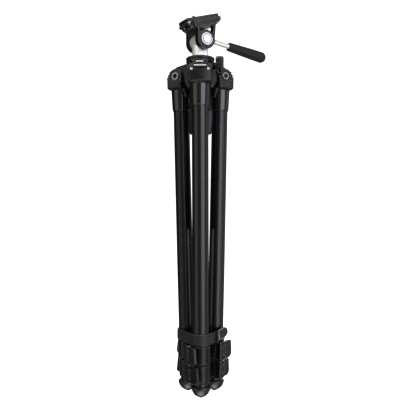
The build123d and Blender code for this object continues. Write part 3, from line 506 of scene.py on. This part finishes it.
def turned_cap():
    finish = Finish("turned_cap", Metallic=1.0)
    shade = finish.start
    radius = off_axis(shade, axle)
    # The groove is only painted: a dark ring of painted shade.
    groove_shade = 1 - (abs(radius - groove_r) / groove_half).clamped()
    clouds = shade.mottle(0.004)
    rounded = shade.rounding(0.0004)
    bright = clouds.blend((0.62, 0.62, 0.62), (0.68, 0.68, 0.68))
    finish.feed(
        Base_Color=groove_shade.blend(bright, (0.16, 0.16, 0.165)),
        Roughness=0.34 + clouds * 0.08,
        Normal=shade.relief(radius.wave(ring_pitch), 0.000003, rounded),
    )
    return finish


casting.put_on("head_yoke")
steel.put_on("tilt_axle")
polished = turned_cap()
polished.put_on("tilt_cap_near", "tilt_cap_far")

# HANDLE
# A bright drawn rod screwed into the yoke, which clamps the tilt when twisted. A
# soft rubber grip is moulded on its end.


def bright_rod():
    finish = Finish("bright_rod", Metallic=0.45)
    shade = finish.start
    clouds = shade.mottle(0.006)
    scratches = shade.mottle(0.0004, (0.2, 0.2, 0.2))
    finish.feed(
        Base_Color=clouds.blend((0.80, 0.745, 0.67), (0.88, 0.835, 0.77)),
        Roughness=0.34 + scratches * 0.10,
        Normal=shade.relief(scratches, 0.000006),
    )
    return finish


def grip_rubber():
    finish = Finish("grip_rubber", Specular_IOR_Level=0.4)
    shade = finish.start
    grain = shade.mottle(0.0005, detail=2.0)
    clouds = shade.mottle(0.012)
    rounded = shade.rounding(0.0006)
    finish.feed(
        Base_Color=clouds.blend((0.019, 0.0183, 0.0184), (0.032, 0.031, 0.0312)),
        Roughness=0.55 + grain * 0.12,
        Normal=shade.relief(grain, 0.00006, rounded),
    )
    return finish


bright_rod().put_on("handle_rod")
grip_rubber().put_on("handle_grip")

# QUICK-RELEASE PLATE
# The black cast plate carries a rubber pad with fine ribs across it, so that it
# holds. It runs up against a steel pin, and a moulded lever on a polished shoulder
# screw lets it go.
slide = Vector(joints["plate_slide"]["axis"])
rib_pitch = 0.0024


def ribbed_rubber():
    finish = Finish("ribbed_rubber", Specular_IOR_Level=0.4)
    shade = finish.start
    run = shade.vectors("DOT_PRODUCT", shade.place(), slide, "Value")
    ribs = run.wave(rib_pitch)
    grain = shade.mottle(0.0004, detail=2.0)
    dust = shade.mottle(0.010)
    rounded = shade.rounding(0.0004)
    pale = ribs * 0.25 + dust * 0.6
    finish.feed(
        Base_Color=pale.blend((0.010, 0.0097, 0.0097), (0.024, 0.0235, 0.0235)),
        Roughness=0.52 + grain * 0.15,
        Normal=shade.relief((ribs * 1.6).clamped() + grain * 0.12, 0.0004, rounded),
    )
    return finish


casting.put_on("qr_plate")
ribbed_rubber().put_on("qr_pad")
plastic.put_on("qr_lever")
polished.put_on("qr_lever_pin")
steel.put_on("qr_stop_pin")

# CAMERA SCREW
# Turned brass quarter-inch screw: a slotted head under the plate, a thin neck,
# and a cut thread of twenty turns to the inch above the pad. Its heights are
# measured along the screw from the tilt axle.
head_r, slot_half, neck_r, core_r, crest_r = 0.0076, 0.0009, 0.0026, 0.00255, 0.00316
head_low, head_mid, head_top = 0.0282, 0.0298, 0.0316
thread_low, thread_top, pitch = 0.0405, 0.0452, 0.00127
head_chamfer, tip_chamfer, tooth_sink = 0.0004, 0.0006, 0.0002
tooth_half, crest_half = 0.45, 0.06
round_steps, thread_turns, turn_steps = 48, 3, 32


def brass():
    finish = Finish("brass", Metallic=1.0)
    shade = finish.start
    clouds = shade.mottle(0.002)
    finish.feed(
        Base_Color=clouds.blend((0.62, 0.43, 0.20), (0.78, 0.58, 0.30)),
        Roughness=0.22 + clouds * 0.16,
        Normal=shade.rounding(0.00015),
    )
    return finish


def turn_shank(screw):
    """Spins the screw's outline from above the slot up to the tip."""
    outline = (
        (0, head_mid), (head_r, head_mid), (head_r, head_top - head_chamfer),
        (head_r - head_chamfer, head_top), (neck_r, head_top), (neck_r, thread_low),
        (core_r, thread_low), (core_r, thread_top - tip_chamfer),
        (core_r - tip_chamfer, thread_top), (0, thread_top),
    )
    verts = [screw.verts.new((x, 0, z)) for x, z in outline]
    edges = [screw.edges.new(pair) for pair in zip(verts, verts[1:])]
    bmesh.ops.spin(
        screw, geom=verts + edges, axis=(0, 0, 1), cent=(0, 0, 0), angle=2 * pi,
        steps=round_steps, use_merge=True,
    )
    bmesh.ops.remove_doubles(screw, verts=screw.verts, dist=0.000005)


def raise_half_head(screw, side):
    """One half of the slotted head, on the given side of the slot."""
    disc = bmesh.ops.create_circle(
        screw, cap_ends=True, segments=round_steps, radius=head_r
    )["verts"]
    faces = {f for v in disc for f in v.link_faces}
    edges = {e for v in disc for e in v.link_edges}
    kept = bmesh.ops.bisect_plane(
        screw, geom=[*faces, *edges, *disc], plane_co=(slot_half * side, 0, 0),
        plane_no=(side, 0, 0), clear_inner=True,
    )["geom"]
    face = [f for f in kept if isinstance(f, bmesh.types.BMFace)]
    bmesh.ops.translate(screw, vec=(0, 0, head_low), verts=face[0].verts)
    raised = bmesh.ops.extrude_face_region(screw, geom=face, use_keep_orig=True)["geom"]
    top = [v for v in raised if isinstance(v, bmesh.types.BMVert)]
    bmesh.ops.translate(screw, vec=(0, 0, head_mid - head_low), verts=top)


def cut_thread(screw):
    """Winds a tooth up the core."""
    root_r = core_r - tooth_sink
    corners = (
        (root_r, -tooth_half), (crest_r, -crest_half),
        (crest_r, crest_half), (root_r, tooth_half),
    )
    middle = thread_low + pitch / 2
    ridge = [screw.verts.new((x, 0, middle + pitch * z)) for x, z in corners]
    bmesh.ops.spin(
        screw, geom=[screw.faces.new(ridge)], axis=(0, 0, 1), cent=(0, 0, 0),
        dvec=(0, 0, pitch / turn_steps), angle=2 * pi * thread_turns,
        steps=turn_steps * thread_turns,
    )


def turned_screw():
    screw = bmesh.new()
    turn_shank(screw)
    for side in (-1, 1):
        raise_half_head(screw, side)
    cut_thread(screw)
    stand = upright(Vector(axle["pos_m"]), Vector(joints["camera_screw_turn"]["axis"]))
    bmesh.ops.transform(screw, matrix=stand, verts=screw.verts)
    return screw


screw = piece_of(
    turned_screw(), "threaded_camera_screw", "screw", brass()
)
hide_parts("camera_screw")

# LEG STRAP
# Thick woven webbing drawn tight round the folded legs. It is sewn into a small
# moulded buckle, and a loose tail with a rounded tip comes out. The sewn edges and
# the tail's root are painted pale, partly as a painted highlight.
strap_height, strap_width, strap_thick = 0.10025, 0.0182, 0.0024
tube_r, strap_clear = 0.0140, 0.0006
start_back, end_short = 0.001, 0.0015
run_cuts, bend_cuts, end_cuts = 10, 16, 8
tail_flare, tail_rise = radians(13.0), radians(15.0)
tail_stand, tail_half, tail_thick = 0.0159, 0.00875, 0.0020
tail_start, tail_taper, tail_cuts = 0.0045, 0.0215, 8
tail_tip = ((0.0022, 0.0080), (0.0020, 0.0064), (0.0016, 0.0046), (0.0010, 0.0028))
buckle_turn = radians(30)
band_out = Vector((cos(buckle_turn), -sin(buckle_turn), 0))
band_ahead = Vector((sin(buckle_turn), cos(buckle_turn), 0))
yarn_pitch, pick_pitch, rim_fade, hem_fade = 0.0013, 0.0016, 0.11, 0.0006


def leg_centre(leg, height):
    """Where a leg's tubes cross a height."""
    pivot = Vector(joints[f"{leg}_spread"]["pos_m"])
    run = Vector(joints[f"{leg}_middle_slide"]["axis"])
    return pivot + run * ((height - pivot.z) / run.z)


class Strip:
    """Webbing drawn out of its end outline one length or bend at a time."""

    def __init__(self, inside, out, up, thick, width):
        self.mesh = bmesh.new()
        self.along = self.mesh.verts.layers.float.new("along")
        self.across = self.mesh.verts.layers.float.new("across")
        self.edge = self.mesh.verts.layers.float.new("edge")
        self.up, self.half, self.run = up, width / 2, 0.0
        soft = thick * 0.3
        flat = self.half - soft
        right = [(0, flat), (soft, self.half), (thick - soft, self.half), (thick, flat)]
        self.rim = []
        for x, z in right + [(x, -z) for x, z in reversed(right)]:
            vert = self.mesh.verts.new(inside + out * x + up * z)
            vert[self.across] = z
            vert[self.edge] = z / self.half
            self.rim.append(vert)
        self.mesh.faces.new(self.rim)

    def step(self, length):
        """Extrudes the end, and keeps the new verts in the order of the old."""
        pairs = zip(self.rim, self.rim[1:] + self.rim[:1])
        loop = [self.mesh.edges.get(pair) for pair in pairs]
        made = bmesh.ops.extrude_edge_only(self.mesh, edges=loop)["geom"]
        fresh = {v for v in made if isinstance(v, bmesh.types.BMVert)}
        ties = [[e.other_vert(v) for e in v.link_edges] for v in self.rim]
        self.rim = [next(v for v in tied if v in fresh) for tied in ties]
        self.run += length
        for vert in self.rim:
            vert[self.along] = self.run

    def straight(self, ahead, length, cuts):
        for _ in range(cuts):
            self.step(length / cuts)
            bmesh.ops.translate(self.mesh, vec=ahead * (length / cuts), verts=self.rim)

    def bend(self, centre, axis, angle, cuts, radius):
        turn = Matrix.Rotation(angle / cuts, 3, axis)
        for _ in range(cuts):
            self.step(abs(angle) / cuts * radius)
            bmesh.ops.rotate(self.mesh, cent=centre, matrix=turn, verts=self.rim)

    def narrow(self, half):
        """Draws the end in to a smaller half width."""
        share = half / self.half
        for vert in self.rim:
            vert.co -= self.up * vert[self.across] * (1 - share)
            vert[self.across] *= share
        self.half = half

    def close(self):
        self.mesh.faces.new(self.rim)


def strap_band():
    """One turn round the three legs, with both ends under the buckle."""
    centres = [leg_centre(leg, strap_height) for leg in ("leg_b", "leg_c", "leg_a")]
    side = (centres[0] - centres[2]).length
    stand = tube_r + strap_clear
    middle = (centres[0] + centres[2]) / 2
    start = middle + band_out * stand - band_ahead * start_back
    strip = Strip(start, band_out, Vector((0, 0, 1)), strap_thick, strap_width)
    ahead = band_ahead.copy()
    corner = 2 * pi / 3
    for centre, run in zip(centres, (side / 2 + start_back, side, side)):
        strip.straight(ahead, run, run_cuts)
        strip.bend(centre, "Z", corner, bend_cuts, stand + strap_thick / 2)
        ahead.rotate(Matrix.Rotation(corner, 3, "Z"))
    strip.straight(ahead, side / 2 - end_short, end_cuts)
    strip.close()
    return strip.mesh


def strap_tail():
    """The loose end, which stands off the band, rises, and tapers to its tip."""
    middle = (leg_centre("leg_a", strap_height) + leg_centre("leg_b", strap_height)) / 2
    root = middle + band_out * tail_stand
    flared = band_ahead * cos(tail_flare) + band_out * sin(tail_flare)
    ahead = flared * cos(tail_rise) + Vector((0, 0, sin(tail_rise)))
    out = band_out * cos(tail_flare) - band_ahead * sin(tail_flare)
    up = out.cross(ahead)
    strip = Strip(root + ahead * tail_start, out, up, tail_thick, 2 * tail_half)
    strip.straight(ahead, tail_taper - tail_start, tail_cuts)
    for reach, half in tail_tip:
        strip.straight(ahead, reach, 1)
        strip.narrow(half)
    strip.close()
    return strip.mesh


def woven_strap(name, pale, rim, hem):
    """Webbing, paler past the share rim of its half width and before hem: sewn edges with a
    painted highlight.
    """
    finish = Finish(
        name, Specular_IOR_Level=0.6, Sheen_Weight=0.08, Sheen_Roughness=0.5
    )
    shade = finish.start
    run = shade.node("Attribute", {"attribute_name": "along"}, {}, "Fac")
    across = shade.node("Attribute", {"attribute_name": "across"}, {}, "Fac")
    edge = shade.node("Attribute", {"attribute_name": "edge"}, {}, "Fac")
    yarns = across / yarn_pitch
    odd = shade.node("Math", {"operation": "FLOOR"}, {0: yarns}) % 2
    picks = run / pick_pitch + odd * 0.5
    thread = yarns.wave(1) * 0.5 + picks.wave(1) * 0.5
    fuzz = shade.mottle(0.0005)
    clouds = shade.mottle(0.015)
    # Pale sewn edges and tail root, partly a painted highlight.
    selvedge_and_highlight = ((abs(edge) - rim) / rim_fade).clamped()
    hem_and_highlight = ((hem - run) / hem_fade).clamped()
    dyed = thread * 0.3 + 0.2 + clouds * 0.5
    cloth = dyed.blend((0.012, 0.0117, 0.0119), (0.026, 0.0253, 0.0257))
    finish.feed(
        Base_Color=(selvedge_and_highlight + hem_and_highlight).blend(cloth, pale),
        Roughness=0.28 + fuzz * 0.2,
        Normal=shade.relief(thread + fuzz * 0.6, 0.00012),
    )
    return finish


band_finish = woven_strap("band_weave", (0.065, 0.065, 0.066), rim=0.83, hem=0.0)
tail_finish = woven_strap("tail_weave", (0.34, 0.34, 0.345), rim=0.80, hem=0.0026)
band = piece_of(strap_band(), "strap_webbing", "leg_b", band_finish)
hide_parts("leg_strap")
piece_of(strap_tail(), "strap_tail", "leg_b", tail_finish)
plastic.put_on("strap_buckle")

# STUDIO
# White table and backdrop. To all but the camera the table is a dim mirror, with a
# small pool of light before each foot. Soft boxes stand on both sides and at the
# back, close above the head, and high overhead.
table_half = 6.0
pool_ahead, pool_r, pool_soft, pool_glow = 0.022, 0.016, 0.012, 3.0
fill_all, fill_front, front_edge, front_slope = 0.05, 0.13, 0.25, 1.4
lit_point = Vector((0, 0, 0.35))


def table_top():
    """White to the camera, and a mirror with pools of light to other rays."""
    finish = Finish(
        "table_white", Base_Color=(0.85, 0.85, 0.85, 1), Roughness=0.22, Metallic=0.8
    )
    shade = finish.start
    seen = shade.node("LightPath", {}, {}, "Is Camera Ray")
    lit = shade.node("BsdfDiffuse", {}, {"Color": (0.9, 0.9, 0.9, 1)})
    glow = shade.node("Emission", {}, {"Color": (1, 1, 1, 1), "Strength": 0.86})
    white = shade.node("AddShader", {}, {0: lit, 1: glow})
    nearest = 1.0
    for leg in LEGS:
        centre = leg_centre(leg, 0) - Vector((0, pool_ahead, 0))
        span = shade.vectors("DISTANCE", shade.place(), centre, "Value")
        nearest = shade.sum_of("MINIMUM", span, nearest)
    pool = ((pool_r - nearest) / pool_soft).clamped()
    lamp = shade.node("Emission", {}, {"Strength": pool_glow})
    mirror = Shade(shade.tree, finish.surface.outputs[0])
    dim = shade.node("MixShader", {}, {0: pool, 1: mirror, 2: lamp})
    top = shade.node("MixShader", {}, {0: seen, 1: dim, 2: white})
    shade.tree.links.new(
        top.socket, shade.tree.nodes["Material Output"].inputs["Surface"]
    )
    return finish


floor_mesh = bmesh.new()
bmesh.ops.create_grid(floor_mesh, x_segments=1, y_segments=1, size=table_half)
floor_data = bpy.data.meshes.new("floor")
floor_mesh.to_mesh(floor_data)
floor_mesh.free()
floor_data.materials.append(table_top().material)
floor = bpy.data.objects.new("floor", floor_data)
bpy.context.scene.collection.objects.link(floor)

world = bpy.data.worlds.new("backdrop")
world.use_nodes = True
bpy.context.scene.world = world
backdrop = world.node_tree.nodes["Background"]
backdrop.inputs["Color"].default_value = (1, 1, 1, 1)
sky = Shade(world.node_tree)
in_view = sky.node("LightPath", {}, {}, "Is Camera Ray")
heading = sky.node("TexCoord", {}, {}, "Generated")
away = sky.node("SeparateXYZ", {}, {0: heading}, "Y")
fill = (front_edge - away * front_slope).clamped() * fill_front + fill_all
strength = in_view + (1 - in_view) * fill
world.node_tree.links.new(strength.socket, backdrop.inputs["Strength"])


def soft_box(name, turn, height, reach, size, glow, colour):
    """A lit panel that faces the tripod, as bright as glow times white."""
    data = bpy.data.lights.new(name, "AREA")
    data.shape, data.size, data.size_y = "RECTANGLE", *size
    data.energy, data.color = glow * pi * size[0] * size[1], colour
    box = bpy.data.objects.new(name, data)
    box.location = (reach * sin(radians(turn)), -reach * cos(radians(turn)), height)
    box.rotation_euler = (lit_point - box.location).to_track_quat("-Z", "Y").to_euler()
    box.visible_camera = False
    bpy.context.scene.collection.objects.link(box)


soft_box("soft_box_right", 37, 0.45, 1.3, (1.2, 2.0), 2.1, (0.90, 0.92, 1.0))
soft_box("soft_box_left", -60, 0.55, 1.4, (1.2, 2.0), 0.70, (1.0, 0.97, 0.93))
soft_box("soft_box_side", 105, 0.5, 1.4, (1.3, 2.0), 0.5, (0.85, 0.88, 1.0))
soft_box("soft_box_back", 180, 0.5, 1.5, (1.6, 2.0), 0.9, (1.0, 1.0, 1.0))
soft_box("soft_box_high", -35, 1.05, 0.42, (0.3, 0.3), 6.0, (1.0, 0.985, 0.95))
soft_box("soft_box_top", 0, 1.9, 0.25, (1.3, 1.3), 0.9, (1.0, 1.0, 1.0))
grade = bpy.context.scene.view_settings
grade.view_transform = "Standard"
grade.gamma, grade.exposure = 0.80, 0.42
